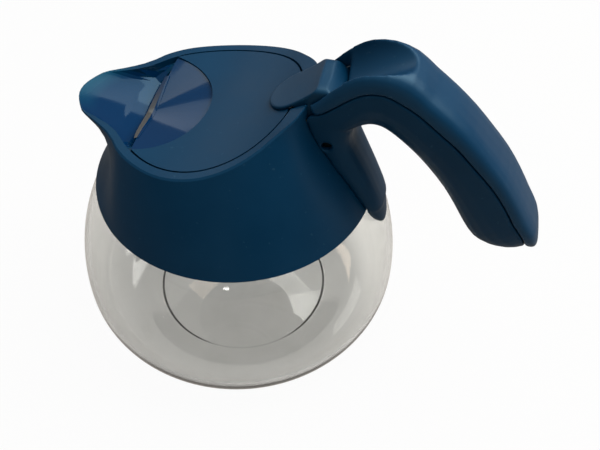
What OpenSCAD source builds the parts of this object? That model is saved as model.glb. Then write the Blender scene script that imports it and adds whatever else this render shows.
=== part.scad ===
// Coffee server carafe: a blown glass jug in a moulded collar with a beak spout,
// a hinged lid with a thumb lever, and an open-ended two-piece handle.
// Millimetres. The origin is the middle of the jug's base, +Z is up,
// the handle points to +X and the spout to -X.

/* [Glass jug] */
// Widest outer diameter of the bowl
bowl_d = 140; // [124:1:156]
// Height of the widest point above the table
belly_z = 27; // [22:0.5:34]
// Outer diameter of the flat base
base_d = 81; // [70:1:92]
// Height of the half ellipse above the widest point
shoulder_h = 82.9; // [80:0.1:86]
// Thickness of the glass wall
glass_t = 2.2; // [1.6:0.1:3]
// Outer diameter of the neck
neck_d = 81; // [79:0.5:82]
// Height of the glass rim above the table
neck_z = 98.2; // [97.6:0.1:99]
// Radius of the bead round the rim
bead_r = 1.5; // [1:0.1:2]

/* [Collar] */
// Height of the collar's lower edge above the table
collar_z = 78; // [74:0.5:84]
// Thickness of the collar's wall
collar_t = 2; // [1.6:0.1:2.6]
// Diameter of the rim round the lid
rim_d = 79; // [77:0.5:82]
// How far the rim's centre lies in front of the jug's axis
rim_shift = 8.5; // [7:0.25:10]
// Height of the level front part of the rim
rim_z = 110; // [109:0.25:112]
// Radius of the rim's upward sweep towards the handle
sweep_r = 83; // [78:1:92]
// How far in front of the axis the sweep starts
sweep_x = 24; // [20:0.5:27]

/* [Spout] */
// Distance of the spout's tip from the jug's axis
spout_reach = 64; // [58:0.5:70]
// Half width of the beak's round tip
tip_w = 8.5; // [7:0.5:13]
// Depth of the trough where it turns down into the neck
trough_d = 6; // [5:0.25:7]

/* [Lid] */
// Diameter of the lid
lid_d = 70.2; // [68:0.2:71.4]
// Thickness of the lid's plate
lid_t = 2.6; // [2:0.1:3.2]
// Seam between the lid and the rim
lid_gap = 0.7; // [0.5:0.05:1]
// Distance of the lid's front edge from the jug's axis
lid_front = 31; // [29:0.5:33]
// Radius of the drip scoop in the lid
scoop_r = 28.2; // [26:0.2:30]
// Depth of the drip scoop below the rim
scoop_d = 8; // [6:0.25:9]

/* [Hinge and lever] */
// Height of the hinge axis above the table
hinge_z = 123; // [122:0.25:124]
// Distance of the hinge axis from the jug's axis
hinge_x = 30.6; // [30:0.1:31]
// Diameter of the hinge pin
pin_d = 2.6; // [2:0.1:3]
// Radius of the lever's round back about the hinge
lever_r = 15.2; // [14.4:0.1:15.6]
// Width of the thumb lever
lever_w = 19.4; // [17:0.2:20]
// Thickness of the lever's tongue above the lid
tongue_t = 1.8; // [1.4:0.1:2.6]

/* [Handle] */
// Length of the handle behind the collar's rim
handle_l = 94.4; // [84:0.2:110]
// Height of the handle from its end to its crown
handle_h = 81.5; // [76:0.5:88]
// Height of the crown above the back of the rim
handle_rise = 18.2; // [17:0.2:20]
// Width of the handle
handle_w = 24.4; // [23.6:0.2:28]
// Wall of the hollow grip and its cover
grip_t = 2.4; // [1.8:0.1:3.2]
// Thickness of the spine that runs down the collar
spine_t = 5.4; // [4.5:0.1:7]
// Length of the spine from its tip to the handle's root
spine_l = 61.5; // [54:0.5:66]
// Diameter of the locking pin across the root
lock_d = 3.8; // [3:0.1:4.4]

/* [Hidden] */
$fn = 96;

// Overrun of every cut past the face it leaves
over = 1;
// Gap at faces that seat on each other
seat_gap = 0.15;
// Gap round the moving lid parts
swing_gap = 0.5;
// Running clearance of the hinge pin, on the radius
run_gap = 0.06;

// Jug
bowl_r = bowl_d / 2;
base_r = base_d / 2;
neck_r = neck_d / 2;
heel_n = 2.2;
punt_h = 1.6;
foot_w = 8;
floor_t = 3;
profile_steps = 22;
bead_steps = 8;
shoulder_a = min(acos(neck_r / bowl_r), asin((neck_z - 2 * bead_r - belly_z) / shoulder_h));
inner_a = acos((neck_r - glass_t) / (bowl_r - glass_t));
function glass_r(z) = z < belly_z
  ? base_r + (bowl_r - base_r) * pow(1 - pow((belly_z - z) / belly_z, heel_n), 1 / heel_n)
  : max(neck_r, bowl_r * sqrt(1 - pow((z - belly_z) / shoulder_h, 2)));

// Seal and flange over the glass rim, sleeve inside it, split ring under its bead
seal_t = 1.2;
flange_z = neck_z + seal_t;
flange_t = 1.4;
flange_lap = 0.9;
flange_r = neck_r + bead_r + flange_lap;
sleeve_t = 1.6;
sleeve_gap = 0.6;
sleeve_l = 9;
sleeve_r = neck_r - glass_t - sleeve_t - sleeve_gap;
sleeve_z = neck_z - sleeve_l;
ring_h = 2.4;
ring_split = 6;
ring_z = neck_z - 2 * bead_r - seat_gap - ring_h;

// Collar wall
collar_gap = 0.4;
collar_r = glass_r(collar_z) + collar_gap + collar_t;
rim_r = rim_d / 2;
bulge = 0.9;
edge_r = 0.5;
turn_steps = 96;
wall_steps = 10;
lining_steps = 5;
search_a = 60;
search_steps = 18;
spout_a = 44;
merge_a = 16;
merge_lead_a = 4;
lip_ease = 20;
spout_dip = 4;
spout_lead_a = 10;
spout_ease_a = 26;
flare_from_share = 0.5;
flare_n = 2;
deck_t = 2.6;
lip_t = 1.1;
band_fade_a = 26;
slope_share = 0.5;
slope_dip_share = 0.08;
hang_share = 0.35;
under_top_share = 0.92;
lining_top_share = 0.94;

// Lid pocket, ledge and funnel
lid_r = lid_d / 2;
lid_x = -rim_shift - seat_gap;
pocket_r = lid_r + lid_gap;
ledge_w = 2.6;
ledge_r = pocket_r - ledge_w;
ledge_d = lid_t + seat_gap;
skirt_t = 1.6;
skirt_gap = 2;
skirt_d = 7.5;
scoop_out = 6;
scoop_x = lid_front + scoop_out;
scoop_step = 0.6;
scoop_floor_t = 1.8;
front_bow = 2;

// Rear of the rim, where the handle starts
rear_x = rim_r - rim_shift;
rear_z = sweep(rear_x);
flange_share = (flange_z + flange_t + seat_gap - collar_z) / (rear_z - collar_z);
flange_wall = mix(collar_r, rear_x, flange_share) + bulge * 4 * flange_share * (1 - flange_share);
flange_room = flange_wall - collar_t - flange_r - seat_gap;
root_a = 18;
root_ease_a = 22;
root_dip_most = 3.4;
root_dip = max(0, min(root_dip_most, flange_room / dip(flange_share)));
root_flare = 2;
root_flare_n = 12;
slot_w = lever_w + 2 * swing_gap;
cavity_r = lever_r + swing_gap;
pin_in = 1.4;
knuckle_wall = 2.6;
knuckle_r = pin_d / 2 + knuckle_wall;
pin_l = slot_w + 2 * pin_in;
relief_w = pin_l + 2 * pin_in;
lid_stop = hinge_x - knuckle_r;
relief_x = min(lid_stop, lid_x + sqrt(pocket_r * pocket_r - pow(pin_l / 2, 2)));
relief_r = norm([hinge_x - relief_x, hinge_z - sweep(relief_x)]) + 2 * seat_gap;
notch_drop = 9;
notch_z = hinge_z - notch_drop;
notch_x = rear_x - 2 * ledge_w - 2 * deck_t;
crest_a = 71;
crown_h = 3.4;
crown_dip = 1.2;
crown_n = 2.6;
heel_a = 27;
tongue_l = 15;
tongue_x = hinge_x - tongue_l;
tongue_flare_share = 0.72;

// Handle
end_z = rear_z + handle_rise - handle_h;
half_w = handle_w / 2;
part_gap = 0.3;
section_steps = 12;
section_n = 2.7;
cover_n = 3.4;
root_n = 4.5;
root_from_share = 0.6;
root_rows = 5;
root_share = 0.716;
root_z = end_z + root_share * handle_h;
tip_z = root_z - spine_l;
spine_gap = 0.5;
root_gap = 0.7;
lock_drop = 13.6;
lock_out = 0.9;
lock_z = root_z - lock_drop;
lock_x = collar_x(0, lock_z) + lock_out;
lock_deep = 2.2;
lock_l = handle_w - 2 * lock_deep;
lug_wall = 1.5;
lug_w = 12;
lug_r = lock_d / 2 + lug_wall;
tab_w = 9;
tab_h = 4;
tab_in = 2;
tab_rise = 9;
tab_z = collar_z + tab_rise;
thumb_r = 10;
thumb_a = 32;
thumb_share = 0.376;
thumb_drop = 3.4;
thumb_end = [rear_x + thumb_share * handle_l, rear_z + handle_rise - thumb_drop];

// Rows from the spine's tip to the root: height on the collar side, height on the
// hand side, thickness and half width, each as a share of the spine's own size
spine_shares = [
  [0.030, 0.015, 0.26, 0.20], [0.060, 0.045, 0.52, 0.40], [0.120, 0.110, 0.78, 0.60],
  [0.200, 0.195, 0.95, 0.75], [0.226, 0.222, 0.99, 0.79], [0.250, 0.248, 1.02, 0.82],
  [0.300, 0.300, 1.08, 0.86],
  [0.450, 0.450, 1.30, 0.92], [0.600, 0.600, 1.55, 0.97], [0.750, 0.735, 1.78, 1.00],
  [0.845, 0.800, 2.13, 1.00], [0.930, 0.845, 2.48, 1.00], [0.985, 0.870, 2.67, 1.00]
];

// Rows from the root to the grip's end: underside, parting line and crown, each as
// x and z shares of the handle's length and height, then half width, the body's
// hollow, and how far the cover's belly hangs below the parting line
grip_shares = [
  [0.179, 0.634, 0.040, 0.721, 0.005, 0.778, 1.00, 0.00, 0.00],
  [0.191, 0.645, 0.070, 0.737, 0.040, 0.819, 1.00, 0.30, 0.30],
  [0.207, 0.655, 0.115, 0.783, 0.085, 0.885, 1.00, 0.55, 0.70],
  [0.229, 0.660, 0.164, 0.834, 0.139, 0.945, 1.00, 0.62, 0.86],
  [0.254, 0.660, 0.214, 0.875, 0.204, 0.989, 1.00, 0.68, 0.86],
  [0.286, 0.650, 0.284, 0.890, 0.291, 1.000, 1.00, 0.80, 0.56],
  [0.322, 0.627, 0.349, 0.860, 0.386, 0.967, 1.00, 0.85, 0.00],
  [0.369, 0.583, 0.418, 0.814, 0.464, 0.889, 1.00, 0.85, 0.00],
  [0.423, 0.526, 0.493, 0.742, 0.548, 0.812, 1.00, 0.85, 0.00],
  [0.483, 0.449, 0.578, 0.660, 0.636, 0.716, 1.00, 0.85, 0.00],
  [0.558, 0.337, 0.662, 0.557, 0.718, 0.611, 1.00, 0.85, 0.00],
  [0.624, 0.211, 0.742, 0.455, 0.797, 0.501, 1.00, 0.85, 0.00],
  [0.672, 0.112, 0.812, 0.342, 0.866, 0.382, 1.00, 0.85, 0.00],
  [0.717, 0.040, 0.866, 0.235, 0.926, 0.263, 0.99, 0.72, 0.00],
  [0.772, 0.005, 0.913, 0.156, 0.975, 0.166, 0.95, 0.45, 0.00],
  [0.835, 0.000, 0.934, 0.099, 0.996, 0.087, 0.84, 0.12, 0.00],
  [0.886, 0.004, 0.946, 0.058, 1.000, 0.043, 0.62, 0.00, 0.00],
  [0.922, 0.013, 0.945, 0.033, 0.983, 0.026, 0.28, 0.00, 0.00]
];

// Height of the swept top surface above the table at x, let down by a depth
function sweep(x, depth = 0) = x < -sweep_x
  ? rim_z - depth
  : rim_z + sweep_r - sqrt(pow(sweep_r + depth, 2) - pow(x + sweep_x, 2));

function mix(a, b, t) = a + (b - a) * t;
function ease(t) = t <= 0 ? 0 : t >= 1 ? 1 : t * t * (3 - 2 * t);
function bezier(a, b, c, d, t) =
  a * pow(1 - t, 3) + b * 3 * t * pow(1 - t, 2) + c * 3 * t * t * (1 - t) + d * pow(t, 3);
function smooth(a, b, c, d) = (b + c) * 9 / 16 - (a + d) / 16;
function power(x, n) = sign(x) * pow(abs(x), 2 / n);

// Rim in plan: a circle, drawn out into the beak at the front
function ring(r, a) = [lid_x + r * cos(a), r * sin(a)];
function rim(a) = [-rim_shift + rim_r * cos(a), rim_r * sin(a)];
function beak(a) =
  let (
    off = a - 180,
    side = off < 0 ? 1 : -1,
    start = rim(180 - spout_a),
    ahead = [-sin(180 - spout_a), cos(180 - spout_a)],
    t = 1 - abs(off) / spout_a,
    p = bezier(start, start + ahead * lip_ease, [-spout_reach, tip_w], [-spout_reach, 0], t)
  )
  abs(off) < spout_a ? [p[0], p[1] * side] : rim(a);

// Under the beak the wall is tucked in
function spout_side(a) = ease((spout_a + spout_lead_a - abs(a - 180)) / spout_ease_a);

// Beside the handle's root the wall dips in, deepest at two thirds of its height, and
// flares out again at the rim
function root_side(a) = ease((root_a + root_ease_a - 180 + abs(a - 180)) / root_ease_a);
function dip(v) = v * v * (1 - v) * 27 / 4;
function root_bend(v) = root_flare * pow(v, root_flare_n) - root_dip * dip(v);

// Outer face of the collar at turn angle a and height share v
function flare(v) = v < flare_from_share ? 0 : pow((v - flare_from_share) / (1 - flare_from_share), flare_n);
function wall(a, v) =
  let (
    top = rim(a),
    foot = [collar_r * cos(a), collar_r * sin(a)],
    belly = bulge - spout_dip * spout_side(a),
    swell = belly * 4 * v * (1 - v) + root_bend(v) * root_side(a),
    p = mix(foot, top, v) + [cos(a), sin(a)] * swell + (beak(a) - top) * flare(v)
  )
  [p[0], p[1], mix(collar_z, sweep(top[0]), v)];
function inset(p, a, t) = [p[0] - t * cos(a), p[1] - t * sin(a), p[2]];

// Outer face of the collar behind the jug: x at a given y and height
function wall_share(a, z) = (z - collar_z) / (sweep(rim(a)[0]) - collar_z);
function turn_at(y, z, low, high, left) =
  let (middle = (low + high) / 2)
  left == 0 ? middle
  : wall(middle, wall_share(middle, z))[1] < y
    ? turn_at(y, z, middle, high, left - 1)
    : turn_at(y, z, low, middle, left - 1);
function collar_x(y, z) =
  let (a = turn_at(abs(y), z, 0, search_a, search_steps))
  wall(a, wall_share(a, z))[0];

// One cross-section of the collar at turn angle a, from the lower edge up the outer
// face, over the rim or the trough, down the sleeve and back under the deck
function collar_ring(a) =
  let (
    off = abs(a - 180),
    w = ease((spout_a + merge_lead_a - off) / merge_a),
    lip = wall(a, 1),
    edge = edge_r / (lip[2] - collar_z),
    pocket = ring(pocket_r, a),
    ledge = ring(ledge_r, a),
    funnel = ring(ledge_r + collar_t, a),
    turn = [cos(a), sin(a)],
    pocket_top = [pocket[0], pocket[1], sweep(pocket[0])],
    pocket_low = [pocket[0], pocket[1], sweep(pocket[0], ledge_d)],
    ledge_top = [ledge[0], ledge[1], sweep(ledge[0], ledge_d)],
    brink = [ledge[0], ledge[1], rim_z - trough_d - deck_t / 2 - seat_gap],
    shelf = [pocket[0], pocket[1], rim_z - trough_d],
    band = mix(rim_r - pocket_r, lip_t, ease((spout_a - off) / band_fade_a)),
    inner_lip = inset(lip, a, band),
    slope = mix(inner_lip, shelf, slope_share) - [0, 0, trough_d * slope_dip_share],
    deck_edge = mix(pocket_top, inner_lip, w),
    deck_low = mix(pocket_low, slope, w),
    ledge_out = mix((pocket_low + ledge_top) / 2, shelf, w),
    ledge_in = mix(ledge_top, brink, w),
    under_z = mix(ledge_top[2], brink[2], w) - deck_t,
    under_share = min(under_top_share, (under_z - collar_z) / (lip[2] - collar_z)),
    sleeve = turn * sleeve_r,
    outside = turn * (sleeve_r + sleeve_t),
    brim = turn * flange_r,
    flange_top = flange_z + flange_t,
    shut_share = (flange_top + seat_gap - collar_z) / (lip[2] - collar_z),
    roof_share = mix(under_share, shut_share, w),
    roof = inset(wall(a, roof_share), a, collar_t * (2 - w)),
    brim_top = [brim[0], brim[1], flange_top],
    root = [outside[0], outside[1], flange_top],
    hang = mix([funnel[0], funnel[1], under_z], root, hang_share)
  )
  concat(
    [inset(wall(a, 0), a, edge_r)],
    [for (i = [0 : wall_steps]) wall(a, mix(edge, 1 - edge, i / wall_steps))],
    [inset(lip, a, edge_r), deck_edge, deck_low, ledge_out, ledge_in],
    [[sleeve[0], sleeve[1], flange_z], [sleeve[0], sleeve[1], sleeve_z]],
    [[outside[0], outside[1], sleeve_z], [outside[0], outside[1], flange_z]],
    [[brim[0], brim[1], flange_z], brim_top],
    [mix(root, mix(brim_top, roof, 1 / 3), w), mix(hang, mix(brim_top, roof, 2 / 3), w), roof],
    [
      for (i = [lining_steps : -1 : 0])
        inset(wall(a, roof_share * lining_top_share * i / lining_steps), a, collar_t)
    ]
  );

// Faces of a skin over rings of n points each
function skin(rings, n, closed) = [
  for (i = [0 : len(rings) - (closed ? 1 : 2)], j = [0 : n - 1], half = [0, 1])
    let (
      i2 = (i + 1) % len(rings),
      j2 = (j + 1) % n
    )
    half == 0
      ? [i * n + j, i2 * n + j2, i * n + j2]
      : [i * n + j, i2 * n + j, i2 * n + j2]
];
function fan(start, n, centre, flip) = [
  for (j = [0 : n - 1])
    let (j2 = (j + 1) % n)
    flip ? [start + j, start + j2, centre] : [start + j2, start + j, centre]
];
function flat_list(lists) = [for (one = lists, p = one) p];
function middle_of(points) =
  let (total = [for (p = points) 1] * points)
  total / len(points);

// Skin closed on itself, such as a wall round an axis
module round_skin(rings) {
  n = len(rings[0]);
  polyhedron(flat_list(rings), skin(rings, n, true));
}

// Skin with both ends closed, such as a limb
module limb_skin(rings) {
  n = len(rings[0]);
  count = len(rings) * n;
  ends = [middle_of(rings[0]), middle_of(rings[len(rings) - 1])];
  polyhedron(
    concat(flat_list(rings), ends),
    concat(skin(rings, n, false), fan(0, n, count, true), fan(count - n, n, count + 1, false))
  );
}

// Twice as many rings, with a smooth curve through the given ones
function finer(rings) =
  let (last = len(rings) - 1)
  concat(
    [
      for (i = [0 : last - 1], half = [0, 1])
        half == 0 ? rings[i] : [
          for (j = [0 : len(rings[i]) - 1])
            smooth(rings[max(i - 1, 0)][j], rings[i][j], rings[i + 1][j], rings[min(i + 2, last)][j])
        ]
    ],
    [rings[last]]
  );

// Places along the handle
function grip_at(sx, sz) = [rear_x + sx * handle_l, end_z + sz * handle_h];
function root_clear(z) = mix(seat_gap, root_gap, ease((z - notch_z) / (root_z - notch_z)));
function spine_back(y, z) = z >= collar_z
  ? collar_x(y, z) + root_clear(z)
  : max(collar_x(y, collar_z), sqrt(pow(glass_r(z), 2) - y * y) + spine_gap) + seat_gap;

// One section of the handle's body: round on the hand side, flat or hollow on the other
function channel(hand, back, w, hollow, rim_w, n = section_n) = concat(
  [
    for (j = [0 : section_steps])
      let (
        a = 180 * j / section_steps,
        y = -w * power(cos(a), n),
        s = 1 - power(sin(a), n),
        far = back(y),
        p = mix([hand[0], y, hand[1]], [far[0], y, far[1]], s)
      ) p
  ],
  [
    for (j = [section_steps : -1 : 0])
      let (
        a = 180 * j / section_steps,
        y = -(w - min(rim_w, w / 2)) * power(cos(a), n),
        s = 1 - hollow * power(sin(a), n),
        far = back(y)
      ) mix([hand[0], y, hand[1]], [far[0], y, far[1]], s)
  ]
);

body_rings = finer(concat(
  [
    for (row = spine_shares)
      let (
        z = tip_z + row[0] * spine_l,
        hand = [spine_back(0, z) + row[2] * spine_t, tip_z + row[1] * spine_l],
        n = mix(section_n, root_n, ease((row[0] - root_from_share) / (1 - root_from_share)))
      )
      channel(hand, function (y) [spine_back(y, z), z], half_w * row[3], 0, grip_t, n)
  ],
  [
    for (i = [0 : len(grip_shares) - 1])
      let (
        row = grip_shares[i],
        part = grip_at(row[2], row[3]),
        n = mix(root_n, section_n, ease(i / root_rows))
      )
      channel(grip_at(row[0], row[1]), function (y) part, half_w * row[6], row[7], grip_t, n)
  ]
));

cover_rings = finer([
  for (row = grip_shares)
    let (
      part = grip_at(row[2], row[3]),
      crown = grip_at(row[4], row[5]),
      seam = part + (crown - part) / norm(crown - part) * part_gap,
      vault = max(0, norm(crown - seam) - grip_t) / norm(crown - seam),
      lining = row[7] == 0 ? 0 : row[8] > 0 ? -row[8] : vault
    )
    channel(crown, function (y) seam, half_w * row[6], lining, grip_t + part_gap, cover_n)
]);

// Bar along Y through a point of the side view
module cross_bar(x, z, r, w) {
  translate([x, w / 2, z])
    rotate([90, 0, 0])
      cylinder(r = r, h = w);
}

// Block between two corners
module block(low, high) {
  translate(low)
    cube(high - low);
}

// Space above the swept surface, let down by a depth
module above_sweep(depth) {
  cross_bar(-sweep_x, rim_z + sweep_r, sweep_r + depth, 2 * bowl_r);
}

// Column of the lid's plan: the round with its bowed front edge
module lid_plan(r) {
  chord = sqrt(lid_r * lid_r - pow(lid_front + lid_x, 2));
  bow_r = (chord * chord + front_bow * front_bow) / (2 * front_bow);
  intersection() {
    translate([lid_x, 0, sleeve_z])
      cylinder(r = r, h = handle_h);
    translate([bow_r - lid_front - front_bow, 0, sleeve_z])
      cylinder(r = bow_r, h = handle_h);
  }
}

module scoop_form(depth, grow) {
  translate([-scoop_x, 0, 0])
    rotate_extrude()
      polygon([
        [0, rim_z - scoop_d - depth],
        [scoop_r + grow, rim_z - scoop_step - depth],
        [scoop_r + grow, rear_z],
        [0, rear_z]
      ]);
}

module glass_jug() {
  outer = concat(
    [
      for (i = [0 : profile_steps])
        let (a = 90 * i / profile_steps)
        [
          base_r + (bowl_r - base_r) * power(sin(a), heel_n),
          belly_z * (1 - power(cos(a), heel_n))
        ]
    ],
    [
      for (i = [1 : profile_steps])
        let (a = shoulder_a * i / profile_steps)
        [bowl_r * cos(a), belly_z + shoulder_h * sin(a)]
    ],
    [
      for (i = [0 : bead_steps])
        let (a = 180 * i / bead_steps - 90)
        [neck_r + bead_r * cos(a), neck_z - bead_r + bead_r * sin(a)]
    ]
  );
  inner = concat(
    [[neck_r - glass_t, neck_z]],
    [
      for (i = [profile_steps : -1 : 1])
        let (a = inner_a * i / profile_steps)
        [(bowl_r - glass_t) * cos(a), belly_z + (shoulder_h - glass_t) * sin(a)]
    ],
    [
      for (i = [profile_steps : -1 : 0])
        let (a = 90 * i / profile_steps)
        [
          base_r + (bowl_r - glass_t - base_r) * power(sin(a), heel_n),
          belly_z - (belly_z - floor_t) * power(cos(a), heel_n)
        ]
    ]
  );
  color([0.86, 0.88, 0.88, 0.5])
    rotate_extrude()
      polygon(concat(
        [[0, punt_h], [base_r - foot_w - foot_w / 2, punt_h], [base_r - foot_w, 0]],
        outer,
        inner,
        [[0, floor_t + punt_h]]
      ));
}

module neck_seal() {
  color([0.75, 0.77, 0.78])
    translate([0, 0, neck_z])
      difference() {
        cylinder(r = neck_r + bead_r, h = seal_t);
        translate([0, 0, -over])
          cylinder(r = neck_r - glass_t, h = seal_t + 2 * over);
      }
}

module retaining_ring() {
  ring_top = ring_z + ring_h;
  side_y = wall(90, wall_share(90, ring_top))[1];
  outer_r = min(side_y, collar_x(0, ring_top)) - collar_t - 4 * seat_gap;
  color([0.15, 0.16, 0.18])
    translate([0, 0, ring_z])
      difference() {
        cylinder(r = outer_r, h = ring_h);
        translate([0, 0, -over])
          cylinder(r = glass_r(ring_z) + seat_gap, h = ring_h + 2 * over);
        block([0, -ring_split / 2, -over], [bowl_r, ring_split / 2, ring_h + over]);
      }
}

// Lug on the collar that the handle's root slips over, grown by a gap for its pocket
module lock_lug(gap) {
  cross_bar(lock_x, lock_z, lug_r + gap, lug_w + 2 * gap);
  block(
    [lock_x - lug_r, -lug_w / 2 - gap, lock_z - lug_r - gap],
    [lock_x, lug_w / 2 + gap, lock_z + lug_r + gap]
  );
}

module collar() {
  color([0.07, 0.2, 0.32])
    difference() {
      union() {
        round_skin([for (i = [turn_steps : -1 : 1]) collar_ring(360 * i / turn_steps)]);
        lock_lug(0);
      }
      block([notch_x, -slot_w / 2, notch_z], [bowl_r, slot_w / 2, rear_z + handle_rise]);
      cross_bar(hinge_x, hinge_z, pin_d / 2 + run_gap, pin_l + 2 * seat_gap);
      cross_bar(lock_x, lock_z, lock_d / 2 + run_gap, lock_l + 2 * seat_gap);
      block(
        [collar_x(0, tab_z) - 2 * spine_t, -tab_w / 2 - seat_gap, tab_z - seat_gap],
        [collar_x(0, tab_z) + over, tab_w / 2 + seat_gap, tab_z + tab_h + seat_gap]
      );
    }
}

module handle_body() {
  color([0.06, 0.17, 0.28])
    difference() {
      union() {
        limb_skin(body_rings);
        block(
          [collar_x(0, tab_z) - collar_t - tab_in, -tab_w / 2, tab_z],
          [collar_x(0, tab_z) + spine_t / 2, tab_w / 2, tab_z + tab_h]
        );
      }
      hinge_space();
      lock_lug(seat_gap);
      cross_bar(lock_x, lock_z, lock_d / 2 + run_gap, 2 * handle_w);
    }
}

// Room for the lever's back, from the root up through the cover
module hinge_space() {
  intersection() {
    cross_bar(hinge_x, hinge_z, cavity_r, slot_w);
    block(
      [rear_x - handle_l, -slot_w, notch_z],
      [rear_x + handle_l, slot_w, hinge_z + handle_h]
    );
  }
}

module handle_cover() {
  color([0.1, 0.25, 0.38])
    difference() {
      limb_skin(cover_rings);
      hinge_space();
      block(
        [rear_x - handle_l, -slot_w / 2, hinge_z - cavity_r],
        [hinge_x + cavity_r * cos(crest_a / 2), slot_w / 2, rear_z + handle_h]
      );
      translate([thumb_end[0], 0, thumb_end[1] + thumb_r / cos(thumb_a)])
        rotate([0, 90 - thumb_a, 0])
          translate([0, 0, -handle_l])
            cylinder(r = thumb_r, h = 2 * handle_l);
    }
}

module lock_pin() {
  color([0.05, 0.06, 0.07])
    cross_bar(lock_x, lock_z, lock_d / 2, lock_l);
}

module lid() {
  color([0.14, 0.28, 0.38])
    difference() {
      intersection() {
        lid_plan(lid_r);
        union() {
          difference() {
            above_sweep(lid_t);
            above_sweep(0);
          }
          difference() {
            intersection() {
              above_sweep(skirt_d);
              translate([lid_x, 0, sleeve_z])
                cylinder(r = ledge_r - skirt_gap, h = handle_h);
            }
            above_sweep(lid_t / 2);
            translate([lid_x, 0, sleeve_z - over])
              cylinder(r = ledge_r - skirt_gap - skirt_t, h = handle_h);
          }
          difference() {
            intersection() {
              scoop_form(scoop_floor_t, scoop_floor_t);
              translate([lid_x, 0, sleeve_z])
                cylinder(r = ledge_r - skirt_gap, h = handle_h);
            }
            above_sweep(0);
          }
        }
      }
      scoop_form(0, 0);
      cross_bar(hinge_x, hinge_z, relief_r, relief_w);
      block([lid_stop, -bowl_r, 0], [lid_stop + bowl_d, bowl_r, rear_z + handle_h]);
    }
}

// Side outline of the lever: tongue over the lid, crest, round back and knuckle
function lever_top(x) =
  let (
    crest = [hinge_x + lever_r * cos(crest_a), hinge_z + lever_r * sin(crest_a)],
    bend = mix(tongue_x, crest[0], tongue_flare_share),
    lift = crest[1] - sweep(crest[0]) - tongue_t,
    t = max(0, (x - bend) / (crest[0] - bend))
  )
  sweep(x) + tongue_t + lift * t * t;
// Rounded front view of the lever, a little lower in the middle of its crest
module lever_crown() {
  crest_z = hinge_z + lever_r * sin(crest_a);
  translate([hinge_x - bowl_r, 0, 0])
    rotate([90, 0, 90])
      linear_extrude(height = bowl_d)
        polygon(concat(
          [[-lever_w / 2, 0]],
          [
            for (i = [0 : profile_steps])
              let (a = 180 * i / profile_steps)
              [
                -lever_w / 2 * power(cos(a), crown_n),
                crest_z - crown_h + crown_h * power(sin(a), crown_n) - crown_dip * pow(sin(a), 4)
              ]
          ],
          [[lever_w / 2, 0]]
        ));
}

module thumb_lever() {
  crest_x = hinge_x + lever_r * cos(crest_a);
  joint_x = min(lid_stop, lid_x + lid_r) + seat_gap;
  steps = profile_steps;
  color([0.17, 0.3, 0.4])
    difference() {
      intersection() {
        translate([0, lever_w / 2, 0])
          rotate([90, 0, 0])
            linear_extrude(height = lever_w)
              union() {
                polygon(concat(
                  [
                    for (i = [0 : steps])
                      let (x = mix(tongue_x, joint_x, i / steps))
                      [x, sweep(x) + seat_gap]
                  ],
                  [[joint_x, hinge_z - knuckle_r / 2], [hinge_x, hinge_z - knuckle_r / 2]],
                  [
                    for (i = [0 : steps])
                      let (a = mix(heel_a, crest_a, i / steps))
                      [hinge_x + lever_r * cos(a), hinge_z + lever_r * sin(a)]
                  ],
                  [for (i = [steps : -1 : 0]) let (x = mix(tongue_x, crest_x, i / steps)) [x, lever_top(x)]]
                ));
                translate([hinge_x, hinge_z])
                  circle(r = knuckle_r);
              }
        union() {
          translate([tongue_x + lever_w / 2, 0, 0])
            cylinder(r = lever_w / 2, h = rear_z + handle_h);
          block(
            [tongue_x + lever_w / 2, -lever_w / 2, 0],
            [hinge_x + lever_r + over, lever_w / 2, rear_z + handle_h]
          );
        }
        lever_crown();
      }
      cross_bar(hinge_x, hinge_z, pin_d / 2 + run_gap, lever_w + 2 * over);
    }
}

module hinge_pin() {
  color([0.7, 0.71, 0.72])
    cross_bar(hinge_x, hinge_z, pin_d / 2, pin_l);
}

glass_jug();
neck_seal();
retaining_ring();
collar();
handle_body();
handle_cover();
lock_pin();
lid();
thumb_lever();
hinge_pin();
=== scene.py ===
import math

import bmesh
import bpy
from mathutils import Matrix, Vector


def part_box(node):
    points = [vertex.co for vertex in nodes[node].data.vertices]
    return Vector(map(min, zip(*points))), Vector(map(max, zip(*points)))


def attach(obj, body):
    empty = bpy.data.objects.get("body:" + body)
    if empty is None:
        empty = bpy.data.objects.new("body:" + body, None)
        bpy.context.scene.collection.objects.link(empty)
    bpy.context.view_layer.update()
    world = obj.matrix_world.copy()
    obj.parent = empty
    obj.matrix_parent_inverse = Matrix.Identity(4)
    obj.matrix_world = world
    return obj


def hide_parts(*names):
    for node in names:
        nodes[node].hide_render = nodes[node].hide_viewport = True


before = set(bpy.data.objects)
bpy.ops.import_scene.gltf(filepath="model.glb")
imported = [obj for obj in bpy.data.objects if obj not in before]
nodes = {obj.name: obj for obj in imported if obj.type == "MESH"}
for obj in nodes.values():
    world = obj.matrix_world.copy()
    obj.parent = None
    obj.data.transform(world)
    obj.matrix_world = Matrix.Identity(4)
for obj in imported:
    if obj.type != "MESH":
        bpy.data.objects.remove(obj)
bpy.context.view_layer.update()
scene = bpy.context.scene
scene.view_settings.view_transform = "Standard"
print("frame loaded,", len(nodes), "nodes")


# camera at the photograph's angle

cameraSetup = {
    "target": (0.030342, -0.00834, 0.060),
    "distance": 0.329483,
    "azimuth": 11.576,  # degrees from the side view towards the handle
    "elevation": 50.542,
    "roll": 1.302,
    "lens": 46.8,
    "sensor": 36.0,
    "shift": (-0.0033, 0.0017),
    "clipStart": 0.01,
}


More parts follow.
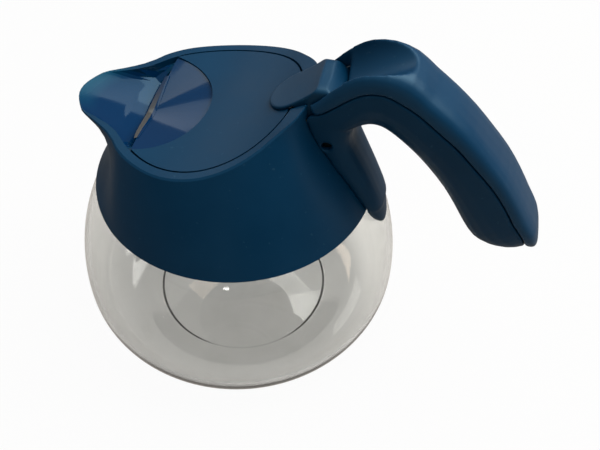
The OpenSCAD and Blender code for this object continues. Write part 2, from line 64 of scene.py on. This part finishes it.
def placeCamera(setup):
    az, el, roll = (math.radians(setup[k]) for k in ("azimuth", "elevation", "roll"))
    back = Vector((math.sin(az) * math.cos(el), -math.cos(az) * math.cos(el), math.sin(el)))
    right = Vector((0, 0, 1)).cross(back).normalized()
    up = back.cross(right)
    turnedRight = right * math.cos(roll) + up * math.sin(roll)
    turnedUp = up * math.cos(roll) - right * math.sin(roll)
    data = bpy.data.cameras.new("photoCamera")
    data.sensor_width = setup["sensor"]
    data.lens = setup["lens"]
    data.shift_x, data.shift_y = setup["shift"]
    data.clip_start = setup["clipStart"]
    camera = bpy.data.objects.new("photoCamera", data)
    scene.collection.objects.link(camera)
    pose = Matrix((turnedRight, turnedUp, back)).transposed().to_4x4()
    pose.translation = Vector(setup["target"]) + back * setup["distance"]
    camera.matrix_world = pose
    scene.camera = camera


placeCamera(cameraSetup)
print("camera placed")


# node groups shared by the finishes

def addNode(tree, kind, **values):
    node = tree.nodes.new(kind)
    for key, value in values.items():
        setattr(node, key, value)
    return node


def newGroup(name, inputs, outputs):
    group = bpy.data.node_groups.new(name, "ShaderNodeTree")
    for direction, sockets in (("INPUT", inputs), ("OUTPUT", outputs)):
        for label, kind in sockets:
            group.interface.new_socket(name=label, in_out=direction, socket_type="NodeSocket" + kind)
    return group, group.nodes.new("NodeGroupInput"), group.nodes.new("NodeGroupOutput")


def noise(tree, coords, detail, roughness=0.55):
    node = addNode(tree, "ShaderNodeTexNoise")
    node.inputs["Detail"].default_value = detail
    node.inputs["Roughness"].default_value = roughness
    tree.links.new(coords, node.inputs["Vector"])
    return node


def remap(tree, source, low, high, toLow, toHigh):
    node = addNode(tree, "ShaderNodeMapRange")
    tree.links.new(source, node.inputs["Value"])
    for label, value in (("From Min", low), ("From Max", high), ("To Min", toLow), ("To Max", toHigh)):
        node.inputs[label].default_value = value
    return node.outputs["Result"]


def blendColours(tree, factor, first, second):
    node = addNode(tree, "ShaderNodeMix", data_type="RGBA")
    tree.links.new(factor, node.inputs["Factor"])
    for socket, source in ((node.inputs[6], first), (node.inputs[7], second)):  # A and B of a colour mix
        if isinstance(source, tuple):
            socket.default_value = source
        else:
            tree.links.new(source, socket)
    return node.outputs[2]


def blendValues(tree, factor, first, second):
    node = addNode(tree, "ShaderNodeMix", data_type="FLOAT")
    tree.links.new(factor, node.inputs["Factor"])
    for socket, source in ((node.inputs[2], first), (node.inputs[3], second)):  # A and B of a value mix
        if isinstance(source, (int, float)):
            socket.default_value = source
        else:
            tree.links.new(source, socket)
    return node.outputs[0]


def calculate(tree, operation, first, second):
    node = addNode(tree, "ShaderNodeMath", operation=operation)
    for socket, source in zip(node.inputs, (first, second)):
        if isinstance(source, (int, float)):
            socket.default_value = source
        else:
            tree.links.new(source, socket)
    return node.outputs[0]


mouldTexture = {
    "patchDetail": 4.0,
    "patchSpan": (0.36, 0.68),  # noise levels of the deep and the rubbed shade
    "shineSpan": (0.3, 0.7),
    "shineChange": 0.05,  # roughness lost or gained from patch to patch
    "grainDetail": 2.0,
    "speckScale": 620.0,
    "speckDetail": 1.0,
    "speckRoughness": 0.3,
    "speckSpan": (0.735, 0.79),
    "speckDulling": 0.3,
}


def makeMouldSkin(texture):
    # moulded plastic: soft patches of shade, a fine grain and specks of dust
    group, given, out = newGroup(
        "mouldSkin",
        [("Deep", "Color"), ("Rubbed", "Color"), ("Dust", "Color"), ("Roughness", "Float"),
         ("Patch Scale", "Float"), ("Grain Scale", "Float"), ("Dust Amount", "Float")],
        [("Colour", "Color"), ("Roughness", "Float"), ("Height", "Float")],
    )
    link = group.links.new
    coords = addNode(group, "ShaderNodeTexCoord").outputs["Object"]
    patches = noise(group, coords, texture["patchDetail"])
    link(given.outputs["Patch Scale"], patches.inputs["Scale"])
    patchMask = remap(group, patches.outputs["Fac"], *texture["patchSpan"], 0.0, 1.0)
    grain = noise(group, coords, texture["grainDetail"])
    link(given.outputs["Grain Scale"], grain.inputs["Scale"])
    specks = noise(group, coords, texture["speckDetail"], texture["speckRoughness"])
    specks.inputs["Scale"].default_value = texture["speckScale"]
    speckMask = remap(group, specks.outputs["Fac"], *texture["speckSpan"], 0.0, 1.0)
    speckMask = calculate(group, "MULTIPLY", speckMask, given.outputs["Dust Amount"])
    shade = blendColours(group, patchMask, given.outputs["Deep"], given.outputs["Rubbed"])
    link(blendColours(group, speckMask, shade, given.outputs["Dust"]), out.inputs["Colour"])
    change = texture["shineChange"]
    patchRough = remap(group, patches.outputs["Fac"], *texture["shineSpan"], -change, change)
    speckRough = calculate(group, "MULTIPLY", speckMask, texture["speckDulling"])
    rough = calculate(group, "ADD", given.outputs["Roughness"], patchRough)
    link(calculate(group, "ADD", rough, speckRough), out.inputs["Roughness"])
    link(grain.outputs["Fac"], out.inputs["Height"])
    return group


blownTexture = {
    "waveDetail": 1.0,
    "waveRoughness": 0.4,
    "filmDetail": 5.0,
    "filmRoughness": 0.6,
    "filmSpan": (0.50, 0.72),  # noise levels of the clear glass and the full film
}


def makeBlownSkin(texture):
    # blown glass: slow waves in the wall, a faint film of dried drops on its face
    group, given, out = newGroup(
        "blownSkin",
        [("Clear", "Color"), ("Film", "Color"), ("Wave Scale", "Float"), ("Film Scale", "Float")],
        [("Colour", "Color"), ("Height", "Float")],
    )
    link = group.links.new
    coords = addNode(group, "ShaderNodeTexCoord").outputs["Object"]
    waves = noise(group, coords, texture["waveDetail"], texture["waveRoughness"])
    link(given.outputs["Wave Scale"], waves.inputs["Scale"])
    film = noise(group, coords, texture["filmDetail"], texture["filmRoughness"])
    link(given.outputs["Film Scale"], film.inputs["Scale"])
    filmMask = remap(group, film.outputs["Fac"], *texture["filmSpan"], 0.0, 1.0)
    link(blendColours(group, filmMask, given.outputs["Clear"], given.outputs["Film"]), out.inputs["Colour"])
    link(waves.outputs["Fac"], out.inputs["Height"])
    return group


mouldSkin = makeMouldSkin(mouldTexture)
blownSkin = makeBlownSkin(blownTexture)


# finishes

def newMaterial(name):
    material = bpy.data.materials.new(name)
    material.use_nodes = True
    tree = material.node_tree
    return material, tree, tree.nodes["Principled BSDF"]


def useGroup(tree, group, values):
    node = addNode(tree, "ShaderNodeGroup", node_tree=group)
    for label, value in values.items():
        node.inputs[label].default_value = value
    return node


def useMouldSkin(tree, finish):
    return useGroup(tree, mouldSkin, {
        "Deep": finish["deep"], "Rubbed": finish["rubbed"], "Dust": finish["dust"],
        "Roughness": finish["roughness"], "Patch Scale": finish["patchScale"],
        "Grain Scale": finish["grainScale"], "Dust Amount": finish["dustAmount"],
    })


def bumpFrom(tree, height, shader, strength, distance):
    bump = addNode(tree, "ShaderNodeBump")
    bump.inputs["Strength"].default_value = strength
    bump.inputs["Distance"].default_value = distance
    tree.links.new(height, bump.inputs["Height"])
    tree.links.new(bump.outputs["Normal"], shader.inputs["Normal"])
    return bump.inputs["Strength"]


plasticFinish = {
    "deep": (0.0002, 0.0208, 0.0530, 1),
    "rubbed": (0.0008, 0.0243, 0.0600, 1),
    "dust": (0.030, 0.080, 0.120, 1),
    "glow": (0.0004, 0.048, 0.090, 1),  # painted light: lighter teal where light shines through the thin lip
    "paintedLightRoughness": 0.45,
    "glowPlace": None,
    "polished": (0.0003, 0.0180, 0.0600, 1),  # inside of the spout and the scoop
    "glossRoughness": 0.08,
    "edgeHighlight": (0.070, 0.068, 0.062, 1),  # painted highlight along the front edge of the lid
    "roughness": 0.40,
    "patchScale": 38.0,
    "grainScale": 2600.0,
    "grainStrength": 0.10,
    "grainDistance": 0.00006,
    "dustAmount": 0.25,
    "specular": 0.17,
    "specularTint": (0.50, 0.85, 1.0, 1),
}


def makePlaceMask(tree, place):
    parts = addNode(tree, "ShaderNodeSeparateXYZ")
    tree.links.new(addNode(tree, "ShaderNodeTexCoord").outputs["Object"], parts.inputs["Vector"])
    shares = [remap(tree, parts.outputs[axis], *span, 0.0, 1.0) for axis, span in place.items()]
    mask = shares[0]
    for share in shares[1:]:
        mask = calculate(tree, "MULTIPLY", mask, share)
    return mask


def makePlastic(name, **changes):
    finish = {**plasticFinish, **changes}
    material, tree, shader = newMaterial(name)
    skin = useMouldSkin(tree, finish)
    gloss = addNode(tree, "ShaderNodeAttribute", attribute_name="gloss").outputs["Fac"]
    paintedEdgeHighlight = addNode(tree, "ShaderNodeAttribute", attribute_name="paintedEdgeHighlight").outputs["Fac"]
    # polished faces have no dust and no grain
    tree.links.new(blendValues(tree, gloss, finish["dustAmount"], 0.0), skin.inputs["Dust Amount"])
    colour = blendColours(tree, gloss, skin.outputs["Colour"], finish["polished"])
    # painted highlight along the lid's front edge
    colour = blendColours(tree, paintedEdgeHighlight, colour, finish["edgeHighlight"])
    rough = blendValues(tree, gloss, skin.outputs["Roughness"], finish["glossRoughness"])
    # painted light: the spout's thin lip is coloured lighter where light shines through it
    if finish["glowPlace"]:
        glow = makePlaceMask(tree, finish["glowPlace"])
        colour = blendColours(tree, glow, colour, finish["glow"])
        rough = blendValues(tree, glow, rough, finish["paintedLightRoughness"])
    tree.links.new(colour, shader.inputs["Base Color"])
    tree.links.new(rough, shader.inputs["Roughness"])
    shader.inputs["Specular IOR Level"].default_value = finish["specular"]
    shader.inputs["Specular Tint"].default_value = finish["specularTint"]
    grain = blendValues(tree, gloss, finish["grainStrength"], 0.0)
    tree.links.new(grain, bumpFrom(tree, skin.outputs["Height"], shader, 1.0, finish["grainDistance"]))
    return material


glassFinish = {
    "clear": (0.985, 0.985, 0.965, 1),
    "film": (0.945, 0.945, 0.920, 1),
    "ior": 1.47,
    "waveScale": 34.0,
    "waveStrength": 0.22,
    "waveDistance": 0.0006,
    "filmScale": 70.0,
}


def makeGlass(name, finish):
    material, tree, shader = newMaterial(name)
    skin = useGroup(tree, blownSkin, {
        "Clear": finish["clear"], "Film": finish["film"],
        "Wave Scale": finish["waveScale"], "Film Scale": finish["filmScale"],
    })
    tree.links.new(skin.outputs["Colour"], shader.inputs["Base Color"])
    shader.inputs["Roughness"].default_value = 0.0
    shader.inputs["IOR"].default_value = finish["ior"]
    shader.inputs["Transmission Weight"].default_value = 1.0
    bumpFrom(tree, skin.outputs["Height"], shader, finish["waveStrength"], finish["waveDistance"])
    return material


steelFinish = {
    "deep": (0.30, 0.31, 0.32, 1),
    "rubbed": (0.45, 0.46, 0.47, 1),
    "dust": (0.2, 0.2, 0.2, 1),
    "roughness": 0.28,
    "patchScale": 160.0,
    "grainScale": 3000.0,
    "grainStrength": 0.08,
    "grainDistance": 0.00005,
    "dustAmount": 0.3,
}


def makeSteel(name, finish):
    material, tree, shader = newMaterial(name)
    skin = useMouldSkin(tree, finish)
    shader.inputs["Metallic"].default_value = 1.0
    tree.links.new(skin.outputs["Colour"], shader.inputs["Base Color"])
    tree.links.new(skin.outputs["Roughness"], shader.inputs["Roughness"])
    bumpFrom(tree, skin.outputs["Height"], shader, finish["grainStrength"], finish["grainDistance"])
    return material


# where the painted light on the spout's lip starts and where it is full, along each axis
lipLightPlace = {"X": (-0.044, -0.056), "Y": (-0.011, 0.001), "Z": (0.1066, 0.1102)}
collarPlastic = makePlastic("collarPlastic", glowPlace=lipLightPlace)
handlePlastic = makePlastic("handlePlastic")
# painted light: the handle's top is a lighter copy of the same blue plastic
litCoverPlastic = makePlastic(
    "litCoverPlastic", deep=(0.0002, 0.0245, 0.0640, 1), rubbed=(0.0008, 0.0280, 0.0710, 1), specular=0.31)
lidPlastic = makePlastic("lidPlastic")
leverPlastic = makePlastic("leverPlastic", specular=0.28)
ringPlastic = makePlastic("ringPlastic", deep=(0.004, 0.006, 0.009, 1), rubbed=(0.008, 0.010, 0.014, 1))
pinPlastic = makePlastic("pinPlastic", deep=(0.002, 0.003, 0.004, 1), rubbed=(0.004, 0.005, 0.006, 1))
sealSilicone = makePlastic(
    "sealSilicone", deep=(0.42, 0.43, 0.43, 1), rubbed=(0.50, 0.51, 0.51, 1),
    dust=(0.6, 0.6, 0.6, 1), roughness=0.55)
pinSteel = makeSteel("pinSteel", steelFinish)
jugGlass = makeGlass("jugGlass", glassFinish)
print("finishes made")


# pieces

mergeDistance = 0.000002  # closes the loose triangles of a copied node


def finishPiece(obj, body, material, replacedNode):
    obj.data.materials.clear()
    obj.data.materials.append(material)
    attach(obj, body)
    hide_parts(replacedNode)


def addPiece(name, bm, sharpAngle=30):
    mesh = bpy.data.meshes.new(name)
    bm.to_mesh(mesh)
    bm.free()
    mesh.shade_smooth()
    mesh.set_sharp_from_angle(angle=math.radians(sharpAngle))
    obj = bpy.data.objects.new(name, mesh)
    scene.collection.objects.link(obj)
    return obj


def copyNode(nodeName, name, look, reshape=None):
    bm = bmesh.new()
    bm.from_mesh(nodes[nodeName].data)
    bmesh.ops.remove_doubles(bm, verts=bm.verts, dist=mergeDistance)
    if look["flatten"]:
        bmesh.ops.dissolve_limit(
            bm, angle_limit=math.radians(look["flatten"]), verts=bm.verts, edges=bm.edges)
    if reshape:
        reshape(bm)
    return addPiece(name, bm, look["sharpAngle"])


def paint(obj, label, amount):
    layer = obj.data.attributes.new(label, "FLOAT", "FACE")
    layer.data.foreach_set("value", [amount(face) for face in obj.data.polygons])


def ramp(value, low, high):
    t = min(max((value - low) / (high - low), 0.0), 1.0)
    return t * t * (3 - 2 * t)


def roundEdges(obj, look):
    bevel = obj.modifiers.new("edgeRound", "BEVEL")
    bevel.width = look["edgeWidth"]
    bevel.segments = look["edgeSegments"]
    bevel.limit_method = "ANGLE"
    bevel.angle_limit = math.radians(look["edgeAngle"])
    bevel.profile = 0.5
    bevel.use_clamp_overlap = True
    weighted = obj.modifiers.new("evenNormals", "WEIGHTED_NORMAL")
    weighted.keep_sharp = False


def softenShape(obj, look):
    remesh = obj.modifiers.new("evenMesh", "REMESH")
    remesh.mode = "VOXEL"
    remesh.voxel_size = look["voxel"]
    remesh.use_smooth_shade = True
    smooth = obj.modifiers.new("softEdges", "SMOOTH")
    smooth.factor = look["softness"]
    smooth.iterations = look["rounds"]


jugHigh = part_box("glass_jug")[1]
jugShape = {
    "bowlRadius": jugHigh.x,
    "bellyHeight": 0.027,
    "baseRadius": 0.0405,
    "shoulderRise": 0.0829,
    "wall": 0.0022,
    "neckRadius": 0.0405,
    "neckHeight": jugHigh.z,
    "beadRadius": 0.0015,
    "heelPower": 2.2,
    "puntRise": 0.0016,
    "footWidth": 0.0005,
    "puntSlope": 0.0014,
    "puntSteps": 6,
    "floorThickness": 0.003,
    "profileSteps": 44,
    "beadSteps": 10,
    "spinSteps": 160,
    "mergeDistance": 0.00001,  # closes the poles
    "sharpAngle": 40,
}


def jugProfile(s):
    steps = s["profileSteps"]
    share = [i / steps for i in range(steps + 1)]
    bend = 2 / s["heelPower"]
    innerRadius = s["bowlRadius"] - s["wall"]
    innerRise = s["shoulderRise"] - s["wall"]
    innerNeck = s["neckRadius"] - s["wall"]

    def heel(radius, lift, t):
        a = math.pi / 2 * t
        r = s["baseRadius"] + (radius - s["baseRadius"]) * math.sin(a) ** bend
        return r, s["bellyHeight"] - (s["bellyHeight"] - lift) * max(math.cos(a), 0.0) ** bend

    def shoulder(radius, rise, neck, t):
        a = math.acos(neck / radius) * t
        return radius * math.cos(a), s["bellyHeight"] + rise * math.sin(a)

    def bead(t):
        a = math.pi * (t - 0.5)
        rise = s["neckHeight"] - s["beadRadius"]
        return s["neckRadius"] + s["beadRadius"] * math.cos(a), rise + s["beadRadius"] * math.sin(a)

    def punt(t):
        r = s["baseRadius"] - s["footWidth"] - s["puntSlope"] * (1 - t)
        return r, s["puntRise"] * (1 + math.cos(math.pi * t)) / 2

    points = [(0.0, s["puntRise"])]
    points += [punt(i / s["puntSteps"]) for i in range(s["puntSteps"] + 1)]
    points += [heel(s["bowlRadius"], 0.0, t) for t in share]
    points += [shoulder(s["bowlRadius"], s["shoulderRise"], s["neckRadius"], t) for t in share[1:]]
    points += [bead(i / s["beadSteps"]) for i in range(s["beadSteps"] + 1)]
    points += [(innerNeck, s["neckHeight"])]
    points += [shoulder(innerRadius, innerRise, innerNeck, t) for t in reversed(share[1:])]
    points += [heel(innerRadius, s["floorThickness"], t) for t in reversed(share)]
    points += [(0.0, s["floorThickness"] + s["puntRise"])]
    return points


def makeJug(s):
    bm = bmesh.new()
    verts = [bm.verts.new((r, 0.0, z)) for r, z in jugProfile(s)]
    edges = [bm.edges.new(pair) for pair in zip(verts, verts[1:])]
    bmesh.ops.spin(
        bm, geom=verts + edges, cent=(0, 0, 0), axis=(0, 0, 1), angle=math.tau,
        steps=s["spinSteps"], use_merge=True)
    bmesh.ops.remove_doubles(bm, verts=bm.verts, dist=s["mergeDistance"])
    bmesh.ops.recalc_face_normals(bm, faces=bm.faces)
    return addPiece("glassJug", bm, s["sharpAngle"])


jug = makeJug(jugShape)
finishPiece(jug, "jug", jugGlass, "glass_jug")
print("glass jug spun")


collarLook = {
    "flatten": 0,  # degrees within which faces are joined, 0 keeps them all
    "sharpAngle": 24,
    "edgeWidth": 0.00022,
    "edgeSegments": 2,
    "edgeAngle": 24,
    "glossFront": -0.034,  # the trough is polished in front of this
    "glossLow": 0.0990,
    "glossHigh": 0.1091,  # the rim above this stays satin
    "glossTilt": 0.12,  # least upward lean of a polished face
    "floorTilt": 0.7,  # faces that lean up more than this belong to the trough's floor
    "tipFrom": -0.056,  # the beak's tip is a little blunter than the moulding's
    "tipShare": 0.74,
    "reshapeLow": 0.097,
    "reshapeHigh": 0.105,
    "beakWidths": [  # place along the spout, and the share of its width there
        (-0.0650, 1.03), (-0.0613, 1.08), (-0.0594, 1.12), (-0.0570, 1.14), (-0.0543, 1.09),
        (-0.0512, 1.03), (-0.0479, 0.99), (-0.0443, 0.965), (-0.0407, 0.955), (-0.0370, 1.0)],
    "wellLow": (0.0233, -0.0101, 0.112),  # wall that closes the hinge well towards the jug
    "wellHigh": (0.0242, 0.0101, 0.1205),
}


def beakWidth(x):
    rows = collarLook["beakWidths"]
    for (x0, w0), (x1, w1) in zip(rows, rows[1:]):
        if x0 <= x <= x1:
            return w0 + (w1 - w0) * (x - x0) / (x1 - x0)
    return 1.0


def reshapeCollar(bm):
    start = collarLook["tipFrom"]
    for vert in bm.verts:
        x, y, z = vert.co
        amount = ramp(z, collarLook["reshapeLow"], collarLook["reshapeHigh"])
        vert.co.y = y * (1 + (beakWidth(x) - 1) * amount)
        if x < start:
            vert.co.x = x + ((x - start) * collarLook["tipShare"] + start - x) * amount
    low, high = Vector(collarLook["wellLow"]), Vector(collarLook["wellHigh"])
    well = Matrix.Translation((low + high) / 2) @ Matrix.Diagonal((high - low).to_4d())
    bmesh.ops.create_cube(bm, size=1.0, matrix=well)


collar = copyNode("collar", "collarShell", collarLook, reshapeCollar)
finishPiece(collar, "jug", collarPlastic, "collar")


def spoutGloss(face):
    centre, normal = face.center, face.normal
    facesIn = centre.x * normal.x + centre.y * normal.y < 0  # the outer wall faces away
    inside = facesIn or normal.z > collarLook["floorTilt"]
    leans = normal.z > collarLook["glossTilt"]
    lowest = min(collar.data.vertices[i].co.z for i in face.vertices)
    level = centre.z > collarLook["glossLow"] and lowest < collarLook["glossHigh"]
    return 1.0 if inside and leans and level and centre.x < collarLook["glossFront"] else 0.0


paint(collar, "gloss", spoutGloss)
roundEdges(collar, collarLook)

bodyLook = {"flatten": 0, "sharpAngle": 42, "voxel": 0.00045, "softness": 0.5, "rounds": 12}
handleBody = copyNode("handle_body", "handleShell", bodyLook)
finishPiece(handleBody, "jug", handlePlastic, "handle_body")
softenShape(handleBody, bodyLook)

coverLook = {"flatten": 0, "sharpAngle": 42, "voxel": 0.0004, "softness": 0.5, "rounds": 26}
handleCover = copyNode("handle_cover", "handleTop", coverLook)
finishPiece(handleCover, "jug", litCoverPlastic, "handle_cover")
softenShape(handleCover, coverLook)

lidLook = {
    "flatten": 0.5,
    "sharpAngle": 40,
    "edgeWidth": 0.0005,
    "edgeSegments": 3,
    "edgeAngle": 40,
    "scoopAxis": (-0.037, 0.0),
    "scoopRadius": 0.0279,
    "scoopCentre": 0.10195,  # height of the scoop's cone on its axis
    "scoopSlope": 0.2755,
    "scoopTilt": 0.3,  # least upward lean of a polished face
    "frontEdge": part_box("lid")[0].x,
    "frontBow": 2.78,
    "noseHalf": 0.0185,  # rounded nose along the front edge
    "noseSteps": 28,
    "noseProfile": [  # how far behind the edge, and how far above the scoop
        (0.0014, 0.00005), (0.0, 0.00012), (-0.0026, -0.0009), (-0.0024, -0.0017), (0.0006, -0.0019)],
    "noseTaper": 0.50,
    "highlightLead": 0.0001,  # the painted highlight on the nose starts this far in front of the edge
    "highlightTilt": 0.5,
    "highlightFade": (-0.002, 0.017),  # the painted highlight is full on one side and fades to the other
    "highlightLeast": 0.2,
}


def frontEdge(y):
    return lidLook["frontEdge"] + lidLook["frontBow"] * y * y


def scoopHeight(x, y):
    x0, y0 = lidLook["scoopAxis"]
    return lidLook["scoopCentre"] + lidLook["scoopSlope"] * math.hypot(x - x0, y - y0)


def addNose(bm):
    rings, steps = [], lidLook["noseSteps"]
    for i in range(steps + 1):
        y = lidLook["noseHalf"] * (2 * i / steps - 1)
        share = 1 - lidLook["noseTaper"] * (y / lidLook["noseHalf"]) ** 2
        ring = []
        for back, rise in lidLook["noseProfile"]:
            x = frontEdge(y) + back * share
            ring.append(bm.verts.new((x, y, scoopHeight(max(x, frontEdge(y)), y) + rise * share)))
        rings.append([bm.edges.new((ring[k - 1], ring[k])) for k in range(len(ring))])
        if i in (0, steps):
            bm.faces.new(ring)
    skin = []
    for first, second in zip(rings, rings[1:]):
        skin += bmesh.ops.bridge_loops(bm, edges=first + second)["faces"]
    caps = [f for ring in (rings[0], rings[-1]) for f in ring[0].link_faces]
    bmesh.ops.recalc_face_normals(bm, faces=list(set(skin + caps)))


lid = copyNode("lid", "lidPlate", lidLook, addNose)
finishPiece(lid, "lid", lidPlastic, "lid")


def scoopGloss(face):
    x, y = lidLook["scoopAxis"]
    inside = math.hypot(face.center.x - x, face.center.y - y) < lidLook["scoopRadius"]
    return 1.0 if inside and face.normal.z > lidLook["scoopTilt"] else 0.0


# painted highlight on the top of the nose, fading across the lid
def noseHighlight(face):
    ahead = face.center.x < frontEdge(face.center.y) - lidLook["highlightLead"]
    fade = ramp(face.center.y, *lidLook["highlightFade"])
    amount = 1.0 + (lidLook["highlightLeast"] - 1.0) * fade
    return amount if ahead and face.normal.z > lidLook["highlightTilt"] else 0.0


paint(lid, "gloss", scoopGloss)
paint(lid, "paintedEdgeHighlight", noseHighlight)
roundEdges(lid, lidLook)

leverLook = {"flatten": 0.5, "sharpAngle": 40, "voxel": 0.00025, "softness": 0.5, "rounds": 30}
lever = copyNode("thumb_lever", "leverTongue", leverLook)
finishPiece(lever, "lid", leverPlastic, "thumb_lever")
softenShape(lever, leverLook)
print("plastic pieces copied")

keptNodes = {
    "neck_seal": sealSilicone,
    "retaining_ring": ringPlastic,
    "lock_pin": pinPlastic,
    "hinge_pin": pinSteel,
}
for nodeName, material in keptNodes.items():
    for materialSlot in nodes[nodeName].material_slots:
        materialSlot.material = material
print("inner nodes finished")


# floor, light and background

studio = {
    "floorColour": (0.40, 0.39, 0.37, 1),
    "floorRoughness": 0.9,
    "floorSpecular": 0.1,
    "floorSize": 6.0,
    "floorDrop": 0.0003,
    "whiteForCamera": 0.96,
    "whiteThroughGlass": 0.25,
    "floorInMirror": 0.75,  # share of the plain tone below that reflections show
    "mirrorTone": (1.0, 0.93, 0.85, 1),
    "mirrorShadeLeft": 0.08,  # painted shade in satin plastic's reflections, near the part
    "mirrorShadeRight": 0.27,
    "mirrorSpan": (-0.2, 0.2),
    "mirrorFar": 0.85,
    "mirrorReach": (0.5, 1.3),  # how far off the far tone starts and is full
    "mirrorSharp": 0.60,  # in glass
    "skyColour": (1, 1, 1, 1),
    "skyHigh": 0.80,
    "skyLow": 0.05,
    "skySpan": (0.0, 0.9),
    "skyThroughGlass": 0.90,
}


def makeFloor(s):
    bm = bmesh.new()
    bmesh.ops.create_grid(bm, x_segments=2, y_segments=2, size=s["floorSize"])
    bmesh.ops.translate(bm, verts=bm.verts, vec=(0, 0, -s["floorDrop"]))
    floor = addPiece("floor", bm)
    material, tree, shader = newMaterial("paleFloor")
    shader.inputs["Base Color"].default_value = s["floorColour"]
    shader.inputs["Roughness"].default_value = s["floorRoughness"]
    shader.inputs["Specular IOR Level"].default_value = s["floorSpecular"]
    # how much of the plain tone each kind of ray sees
    path = addNode(tree, "ShaderNodeLightPath")
    bentRay = path.outputs["Is Transmission Ray"]
    mirrorRay = calculate(tree, "GREATER_THAN", path.outputs["Is Glossy Ray"], bentRay)
    seen = calculate(tree, "MULTIPLY", path.outputs["Is Camera Ray"], s["whiteForCamera"])
    bent = calculate(tree, "MULTIPLY", bentRay, s["whiteThroughGlass"])
    mirrored = calculate(tree, "MULTIPLY", mirrorRay, s["floorInMirror"])
    amount = calculate(tree, "MAXIMUM", seen, calculate(tree, "MAXIMUM", bent, mirrored))
    # the tone is white, but reflections see painted shade on it near the part, deepest on the left and
    # lighter on the right
    coords = addNode(tree, "ShaderNodeTexCoord").outputs["Object"]
    parts = addNode(tree, "ShaderNodeSeparateXYZ")
    tree.links.new(coords, parts.inputs["Vector"])
    near = remap(tree, parts.outputs["X"], *s["mirrorSpan"], s["mirrorShadeLeft"], s["mirrorShadeRight"])
    reach = addNode(tree, "ShaderNodeVectorMath", operation="LENGTH")
    tree.links.new(coords, reach.inputs[0])
    far = remap(tree, reach.outputs["Value"], *s["mirrorReach"], 0.0, s["mirrorFar"])
    soft = calculate(tree, "MAXIMUM", near, far)
    inMirror = blendValues(tree, path.outputs["Is Singular Ray"], soft, s["mirrorSharp"])
    white = addNode(tree, "ShaderNodeEmission")
    tree.links.new(blendValues(tree, mirrorRay, 1.0, inMirror), white.inputs["Strength"])
    tone = blendColours(tree, mirrorRay, (1, 1, 1, 1), s["mirrorTone"])
    tree.links.new(tone, white.inputs["Color"])
    mixer = addNode(tree, "ShaderNodeMixShader")
    tree.links.new(amount, mixer.inputs["Fac"])
    tree.links.new(shader.outputs["BSDF"], mixer.inputs[1])
    tree.links.new(white.outputs["Emission"], mixer.inputs[2])
    tree.links.new(mixer.outputs["Shader"], tree.nodes["Material Output"].inputs["Surface"])
    floor.data.materials.append(material)


def makeSky(s):
    world = bpy.data.worlds.new("studioSky")
    scene.world = world
    world.use_nodes = True
    tree = world.node_tree
    shade = tree.nodes["Background"]
    coords = addNode(tree, "ShaderNodeTexCoord")
    parts = addNode(tree, "ShaderNodeSeparateXYZ")
    tree.links.new(coords.outputs["Generated"], parts.inputs["Vector"])
    strength = remap(tree, parts.outputs["Z"], *s["skySpan"], s["skyLow"], s["skyHigh"])
    path = addNode(tree, "ShaderNodeLightPath")
    strength = blendValues(tree, path.outputs["Is Transmission Ray"], strength, s["skyThroughGlass"])
    strength = blendValues(tree, path.outputs["Is Camera Ray"], strength, 1.0)
    tree.links.new(strength, shade.inputs["Strength"])
    shade.inputs["Color"].default_value = s["skyColour"]


lampAim = (0.0, 0.0, 0.08)
lamps = {
    "softbox": {"place": (0.30, 0.30, 1.10), "size": (1.0, 1.0), "power": 12.0},
    "fill": {"place": (0.66, 0.30, 0.80), "size": (0.70, 0.70), "power": 6.2},
    "card": {"place": (-0.812, 0.842, 0.592), "size": (0.41, 0.416), "power": 0.82},
    "glintNear": {"place": (0.147, -1.243, 0.194), "size": (0.075, 0.026), "power": 0.16},
    "glintSide": {"place": (1.04, 0.087, 0.05), "size": (0.075, 0.026), "power": 0.16},
    "scoopCard": {  # shows only in reflections, above all in the polished scoop
        "place": (-0.65, 0.50, 1.0), "size": (0.30, 0.30), "power": 1.0,
        "tone": (1.0, 0.82, 0.68), "diffuse": False},
}


def addLamp(name, place, size, power, tone=(1.0, 1.0, 1.0), diffuse=True):
    data = bpy.data.lights.new(name, "AREA")
    data.shape = "RECTANGLE"
    data.size, data.size_y = size
    data.energy = power
    data.color = tone
    lamp = bpy.data.objects.new(name, data)
    scene.collection.objects.link(lamp)
    lamp.location = place
    aim = Vector(lampAim) - Vector(place)
    lamp.rotation_euler = aim.to_track_quat("-Z", "Y").to_euler()
    lamp.visible_diffuse = diffuse


makeFloor(studio)
makeSky(studio)
for lampName, lampSetup in lamps.items():
    addLamp(lampName, **lampSetup)
print("studio lit")
